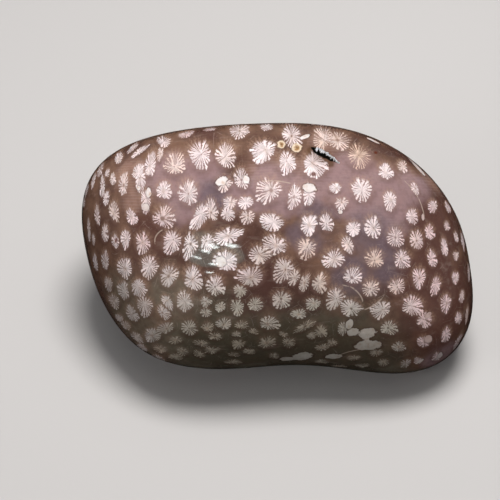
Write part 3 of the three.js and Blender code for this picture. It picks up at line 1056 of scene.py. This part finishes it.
# The deep clouds lay painted shade where the light falls off.
falloff_shade_share = cloud_share(deep, 0.15, 0.9)
colour = agate.coated(
    TAN,
    (agate.step(slow + (medium - 0.5) * 0.8, 0.35, 0.65), BROWN),
    (agate.step(brown - curdled, 0.1, 0.9) * 0.7, BROWN),
    (cloud_share(peach, 0.15, 0.9) * 0.8, PEACH),
    (milk_share * 0.85, MAUVE_MILK),
    (cloud_share(lilac, 0.25, 0.9) * 0.75, LILAC),
    (cloud_share(red, 0.15, 0.8) * 0.8, RED_BROWN),
    (olive_shade_share * (1 - red * 0.7) * 0.85, OLIVE_SHADE),
    # Moss: partly painted light on the low edge.
    (cloud_share(moss_and_painted_light, 0.10, 0.8) * 0.7, MOSS_AND_PAINTED_LIGHT),
    (falloff_shade_share * 0.55, DARK_SHADE_AND_GRAIN),
)

# %% Bands, walls and wisps
stretched = agate.vectors("MULTIPLY", {0: spot, 1: (0.30, 1.2, 1.2)})
band_field = agate.noise(stretched, 0.12, 12.0, 1)
bands = (agate.reach(spot, VIEW_UP) * 14 + band_field * 40 + fine * 3).maths("SINE") * 0.5 + 0.5
band_share = agate.step(peach + milk * 0.5 + curdled, 0.2, 0.9)
level = (near["out"] - far["out"]).maths("ABSOLUTE")
wall_patches = agate.step(medium, 0.50, 0.62) * (1 - milk_share * 0.5)
wall = agate.step(level + (fine - 0.5) * 0.10, 0.07, 0.02) * wall_patches
wisp = agate.step(agate.noise(stretched, 0.9, 6.0, 5), 0.56, 0.74)
specks = agate.step(agate.noise(spot, 4.5, 13.0, 2), 0.58, 0.68) * agate.step(medium, 0.42, 0.58)
colour = agate.coated(
    colour,
    (bands * bands * band_share * 0.22, WALL),
    (wall * 0.30, WALL),
    (wisp * 0.18, WALL),
    (specks * 0.16, WALL),
    (agate.step(fine, 0.40, 0.75) * 0.22, DARK_SHADE_AND_GRAIN),
)

# %% Painted shadow, painted glow and trails round the flowers
# Glow and trails fade where the olive painted shade lies.
clear = 1 - olive_shade_share * 0.7


def larger(part):
    """The larger of one number of a point's two flowers, so nothing jumps where they change places."""
    return near[part].maths("MAXIMUM", far[part])


colour = agate.coated(
    colour,
    (larger("under") * 0.32, DARK_SHADE_AND_GRAIN),
    (larger("painted_glow") * clear * 0.18, GLOW_AND_OVAL_PINK),
    (larger("trail") * clear * 0.55, TRAIL),
)

# %% Petals
near_on_top = agate.step(near["petal"] - far["petal"], -0.05, 0.05)


def of_the_top_one(part):
    """One number of whichever of a point's two flowers shows there."""
    return far[part] + (near[part] - far[part]) * near_on_top


brightness = of_the_top_one("brightness")
whiteness = agate.step(brightness + (medium - 0.5) * 0.4, 0.50, 0.85)
petal_colour = agate.coated(
    CREAM,
    (whiteness, PINK_WHITE),
    (red * 0.8, ROSE),
    # Petals under the olive and moss clouds are dimmed: painted shade of the lower front.
    ((olive_shade_share + moss_and_painted_light * 0.6).maths("MINIMUM", 1.0) * 0.8, SHADED_CREAM),
    # Petals in the deep clouds are dimmed too: painted shade.
    (falloff_shade_share * 0.35, SHADED_CREAM),
    (of_the_top_one("warm") * 0.45, TRAIL),
)
petal_colour = agate.scaled(petal_colour, of_the_top_one("shade"))
cover = larger("petal")
colour = agate.coated(
    colour,
    # Beside the cleft, painted shade of the cleft in amber, which also hides the petals there.
    (agate.step(amber_shade, 0.1, 0.7) * 0.8, AMBER_SHADE),
    (cover * (0.62 + brightness * 0.38) * (1 - amber_shade * 0.6), petal_colour),
)

# %% Ovals, threads, rings and rust
kept_oval = agate.node("ShaderNodeAttribute", {"attribute_name": "oval_distance"})
oval_out = Value(agate, kept_oval.outputs["Fac"]) + (fine - 0.5) * 1.0 + (medium - 0.5) * 0.9
oval_colour = agate.coated(
    CREAM,
    (agate.step(fine, 0.25, 0.50), OVAL_WHITE),
    # Ovals under the olive clouds are dimmed: painted shade.
    (olive_shade_share * 0.75, SHADED_OVAL),
    (red * 0.8, GLOW_AND_OVAL_PINK),
)
oval_colour = agate.scaled(oval_colour, 0.62 + fine * 0.70)

thread_place = agate.node("ShaderNodeUVMap", {"uv_map": "thread"}).outputs[0]
share, aside, _ = agate.parts(thread_place)
aside = (aside + (medium - 0.5) * 0.5).maths("ABSOLUTE")
thread = agate.step(aside, 0.14, 0.05) * agate.step(share.maths("ABSOLUTE"), 1.0, 0.8)
thread = thread * agate.step(fine, 0.30, 0.50)


def round_mark(kind, rim, solid):
    """How much of a point is a ring or a rust dot, fading from its solid part to its rim."""
    shares = []
    for flower in (near, far):
        is_kind = agate.step((flower["kind"] - kind).maths("ABSOLUTE"), 0.4, 0.2)
        uneven_out = flower["out"] + (fine - 0.5) * 0.9
        shares.append(is_kind * agate.step(uneven_out, rim, solid))
    return shares[0].maths("MAXIMUM", shares[1])


ring_colour = agate.coated(
    RING_OCHRE,
    (agate.step(near["out"] + (fine - 0.5) * 1.4, 0.38, 0.68), RING_CREAM),
    (agate.step(near["out"] + (fine - 0.5) * 1.2, 0.34, 0.14) * 0.6, BROWN),
)
colour = agate.coated(
    colour,
    (agate.step(oval_out, 1.35, 1.10) * 0.45, DARK_SHADE_AND_GRAIN),
    (agate.step(oval_out, 1.06, 0.92) * 0.92, oval_colour),
    (thread * 0.55, THREAD),
    (round_mark(YELLOW_RING, 1.10, 0.85) * 0.9, ring_colour),
    (round_mark(RUST_DOT, 1.10, 0.40) * 0.85, RUST),
)

# %% [markdown]
# The polish. Agate bends light by 1.54 and takes a near mirror polish. Seen in a lamp's reflection, the
# real stone shows short slanting streaks where the wheel chattered. They come from a bump of about two
# thousandths of a millimetre, on noise that is drawn out along one direction.

# %% The polish
STREAK_TILT = 14
STREAK_HEIGHT = 0.0018
REFRACTION = 1.54
streak_along, _ = seen_axes(STREAK_TILT)
along = agate.reach(spot, streak_along)
across = agate.reach(spot, np.cross(streak_along, VIEW_AXIS))
streaks = agate.noise(agate.joined(along * 0.55, across * 2.6, 0), 1.0, 8.0, 2)
orange_peel = agate.noise(spot, 0.5, 9.0, 1)
bump = agate.node("ShaderNodeBump", {}, {
    "Strength": 1.0, "Distance": STREAK_HEIGHT * MM, "Height": streaks + orange_peel,
})
agate.surface({
    "Base Color": colour,
    "Roughness": 0.06 + (fine - 0.5) * 0.05 + cover * 0.03,
    "IOR": REFRACTION,
    "Subsurface Weight": 0.15,
    "Subsurface Radius": (1.0, 0.6, 0.45),
    "Subsurface Scale": 0.5 * MM,
    "Normal": bump.outputs[0],
})
mesh.materials.append(agate.material)

# %% [markdown]
# The walls of the cleft were never polished: they are rough, painted nearly black as the shade deep in
# the cleft, and a little rusty.

# %% Rough walls of the cleft
CLEFT_SHADE_BLACK = (0.004, 0.003, 0.003, 1)
WALL_RUST = (0.028, 0.015, 0.008, 1)
WALL_GRAIN = (0.12, 0.07, 0.04, 1)
GRAIN_HEIGHT = 0.15

rough_wall = Finish("rough cleft wall")
wall_spot = rough_wall.place()
grain = rough_wall.noise(wall_spot, 3.0, 1.0, 5)
patches = rough_wall.noise(wall_spot, 0.8, 2.0, 2)
wall_bump = rough_wall.node("ShaderNodeBump", {}, {
    "Strength": 0.8, "Distance": GRAIN_HEIGHT * MM, "Height": grain,
})
rough_wall.surface({
    # Nearly black: painted shade deep in the cleft, with a little rust and grain on it.
    "Base Color": rough_wall.coated(
        CLEFT_SHADE_BLACK,
        (rough_wall.step(patches, 0.4, 0.65), WALL_RUST),
        (rough_wall.step(grain, 0.50, 0.80) * 0.15, WALL_GRAIN),
    ),
    "Roughness": 0.55 + grain * 0.2,
    "IOR": REFRACTION,
    "Normal": wall_bump.outputs[0],
})
mesh.materials.append(rough_wall.material)
mesh.polygons.foreach_set("material_index", cleft_walls.astype(np.int32))
rough_faces = sum(face.material_index == 1 for face in mesh.polygons)
print("materials:", mesh.materials.keys(), "faces with the rough one:", rough_faces)
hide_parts(PEBBLE)
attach(pebble, "root")

# %% [markdown]
# The crystals. A crust of quartz grew along the cleft's upper rim: a thin lining that follows the wall
# there, with small six-sided points standing on it. They are one crust, so they are one piece. The
# points could be cones, but quartz shows flat faces, so each is a hexagonal prism under a sharp pyramid.

# %% A lining and its crystals
CRYSTALS = 100
CROWN_ROUNDNESS = 45
ROOT_DEPTH = 0.08
SHORTEST_CRYSTAL = 0.10
LINING_THICKNESS = 0.05
lining_ball, lining_faces = pocket(LINING_THICKNESS)
lining_middles = lining_ball[lining_faces].mean(axis=1)
RIM_HEIGHTS = (-0.42, -0.01)
BARE_END = -0.72
share_along = np.clip(lining_middles[:, 0] / CLEFT_HALF_LENGTH, -1, 1)
half_width_there = CLEFT_HALF_WIDTH * (1 - CLEFT_TAPER * share_along) * np.sqrt(1 - share_along ** 2)
on_upper_rim = lining_middles[:, 1] > 0.70 * half_width_there
on_upper_rim &= (lining_middles[:, 2] > RIM_HEIGHTS[0]) & (lining_middles[:, 2] < RIM_HEIGHTS[1])
on_upper_rim &= share_along > BARE_END
lining_faces = lining_faces[on_upper_rim]


def six_sided_point(base, direction, radius, length):
    """One crystal in the cleft's own frame: thirteen corners, and quads and triangles."""
    direction = unit(direction)
    first = unit(np.cross(direction, [0.3, 0.2, 1.0]))
    second = np.cross(direction, first)
    turns = np.arange(6) * math.pi / 3 + rng.uniform(0, math.pi / 3)
    ring = radius * (np.cos(turns)[:, None] * first + np.sin(turns)[:, None] * second)
    shoulder = base + direction * length * rng.uniform(0.55, 0.75)
    corners = np.vstack([base + ring, shoulder + ring, base + direction * length])
    sides = [(i, (i + 1) % 6, 6 + (i + 1) % 6, 6 + i) for i in range(6)]
    tip = [(6 + i, 6 + (i + 1) % 6, 12) for i in range(6)]
    return corners, sides + tip + [(5, 4, 3, 2, 1, 0)]


# %% Growing the crystals
used = np.unique(lining_faces)
renumbered = np.zeros(len(lining_ball), dtype=np.int32)
renumbered[used] = np.arange(len(used))
crust_corners = [lining_ball[used]]
crust_faces = [tuple(face) for face in renumbered[lining_faces]]
corner_count = len(used)
upper_wall = np.flatnonzero(on_upper_rim)
for middle in lining_middles[rng.choice(upper_wall, CRYSTALS)]:
    heading = unit(np.array([rng.uniform(-0.5, 0.5), -1.0, rng.uniform(-0.4, 0.6)]))
    skin = -0.03 - middle[0] ** 2 / CROWN_ROUNDNESS
    longest = 0.42 - 0.24 * middle[0] / CLEFT_HALF_LENGTH
    reach = min(longest * rng.uniform(0.3, 1.3), (skin - middle[2]) / max(heading[2], 0.1))
    radius = rng.uniform(0.04, 0.10)
    root = middle - heading * ROOT_DEPTH
    corners, faces = six_sided_point(root, heading, radius, max(reach, SHORTEST_CRYSTAL))
    crust_corners.append(corners)
    crust_faces += [tuple(corner + corner_count for corner in face) for face in faces]
    corner_count += len(corners)

crust_places = np.vstack(crust_corners) @ cleft_frame + cleft_place
crystals = new_piece("quartz_crust", crust_places, crust_faces, smooth=False)
print("crystal faces:", len(crystals.data.polygons))

# %% Quartz
BLUISH_QUARTZ = (0.90, 0.91, 0.97, 1)
WHITE_QUARTZ = (0.97, 0.96, 0.96, 1)

quartz = Finish("quartz")
cloudy = quartz.noise(quartz.place(), 1.4, 1.0, 3)
quartz.surface({
    "Base Color": quartz.mix(quartz.step(cloudy, 0.35, 0.65), BLUISH_QUARTZ, WHITE_QUARTZ),
    "Roughness": 0.08 + cloudy * 0.12,
    "IOR": REFRACTION,
    "Transmission Weight": 0.05,
})
crystals.data.materials.append(quartz.material)
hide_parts(CRYSTALS_NODE)
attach(crystals, "root")

# %% [markdown]
# The set is plain: a pale matt floor, a dim pale room, and soft lamps. The main lamp hangs nearly
# overhead, with a wide ceiling lamp far above it, so they light the crown while the lower front falls
# into shade. Two weak ones stand low at the left and in front. A pale floor would throw light back up
# into that shade, and the polish would mirror it as a grey haze. So the pale floor is one that only
# the camera sees. A black one lies a millimetre below it, and is all that the stone itself meets there.

# %% The floors
FLOOR_HALF = 1500
BLACK_FLOOR_HEIGHT = -1
FLOOR_PALE = (0.56, 0.55, 0.54, 1)
FLOOR_BLACK = (0.008, 0.008, 0.008, 1)


def flat_floor(name, height, colour):
    """A square matt floor at a height in millimetres."""
    corners = np.array([(-1, -1, 0), (1, -1, 0), (1, 1, 0), (-1, 1, 0)]) * FLOOR_HALF
    floor = new_piece(name, corners + [0, 0, height], [(0, 1, 2, 3)], smooth=False)
    matt = Finish(name)
    matt.surface({"Base Color": colour, "Roughness": 0.9})
    floor.data.materials.append(matt.material)
    floor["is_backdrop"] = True
    return floor


pale_floor = flat_floor("pale_floor", 0, FLOOR_PALE)
pale_floor.visible_glossy = False
pale_floor.visible_diffuse = False
flat_floor("black_floor", BLACK_FLOOR_HEIGHT, FLOOR_BLACK)

# %% Soft lamps
MIDDLE = Vector((0, 0, 0.018))


def soft_lamp(name, place, width, height, watts, tint, mirrored):
    """An oval lamp facing the pebble, seen either in the polish alone or everywhere but there."""
    data = bpy.data.lights.new(name, "AREA")
    data.shape = "ELLIPSE"
    data.size = width
    data.size_y = height
    data.energy = watts
    data.color = tint
    lamp = bpy.data.objects.new(name, data)
    lamp.location = place
    lamp.rotation_euler = (MIDDLE - lamp.location).to_track_quat("-Z", "Y").to_euler()
    lamp.visible_glossy = mirrored
    lamp.visible_diffuse = not mirrored
    bpy.context.scene.collection.objects.link(lamp)


LAMP_WHITE = (1.0, 0.975, 0.965)
soft_lamp("overhead", (0.03, 0.055, 0.34), 0.16, 0.12, 1.18, LAMP_WHITE, mirrored=False)
soft_lamp("ceiling", (0.12, 0.10, 0.80), 1.0, 0.8, 1.2, LAMP_WHITE, mirrored=False)
soft_lamp("left", (-0.36, -0.16, 0.12), 0.20, 0.16, 0.42, LAMP_WHITE, mirrored=False)
soft_lamp("front", (0.20, -0.43, 0.05), 0.50, 0.10, 0.38, LAMP_WHITE, mirrored=False)

# %% [markdown]
# The polish shows in one soft, greenish patch with a few short bright dashes in it. A highlight sits
# where the surface mirrors a lamp into the camera, so each of these lamps is placed backwards: from the
# camera to the spot where its mirror image should lie, off the surface there, and on up to the height
# where the lamps hang. The spots are given as they are seen, in millimetres right and up.

# %% Lamps that the polish mirrors
MIRRORED_HEIGHT = 440
PATCH_SEEN_AT = (-6.0, -0.8)
DASHES_SEEN_AT = [(-5.8, 0.6), (-2.8, 0.6), (-7.1, -0.2), (-8.3, -1.1), (-5.6, -2.2), (-6.4, -3.5)]
NEIGHBOURS = 12


def lamp_place_mirrored_at(right, up):
    """Where a lamp hangs, in metres, for the camera to see it mirrored at a place in its picture."""
    patch = np.argsort(missed_by(right, up, facing_camera < SEEN_FROM))[:NEIGHBOURS]
    spot_there = face_centres[patch].mean(axis=0)
    outward = unit(face_normals[patch].mean(axis=0))
    sight = unit(spot_there - CAMERA_PLACE)
    leaving = sight - 2 * (sight @ outward) * outward
    return (spot_there + leaving * (MIRRORED_HEIGHT - spot_there[2]) / leaving[2]) * MM


PATCH_GREEN = (0.54, 0.98, 0.92)
DASH_WHITE = (0.92, 1.0, 0.98)
patch_place = lamp_place_mirrored_at(*PATCH_SEEN_AT)
soft_lamp("patch", patch_place, 0.20, 0.13, 0.080, PATCH_GREEN, mirrored=True)
for number, seen_at in enumerate(DASHES_SEEN_AT, start=1):
    dash_place = lamp_place_mirrored_at(*seen_at)
    soft_lamp(f"dash {number}", dash_place, 0.036, 0.007, 0.018, DASH_WHITE, mirrored=True)
    print("dash", number, "hangs at, metres:", np.round(dash_place, 3))

# %% The room
ROOM_GREY = (0.75, 0.76, 0.80, 1)
ROOM_STRENGTH = 0.13

room = bpy.data.worlds.new("room")
room.use_nodes = True
background = room.node_tree.nodes["Background"]
background.inputs["Color"].default_value = ROOM_GREY
background.inputs["Strength"].default_value = ROOM_STRENGTH
bpy.context.scene.world = room
bpy.context.scene.view_settings.view_transform = "Standard"

# %% The size of the visual model
boxes = {"cad": cad_box, "visual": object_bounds()}
{name: [list(corner) for corner in box] for name, box in boxes.items()}
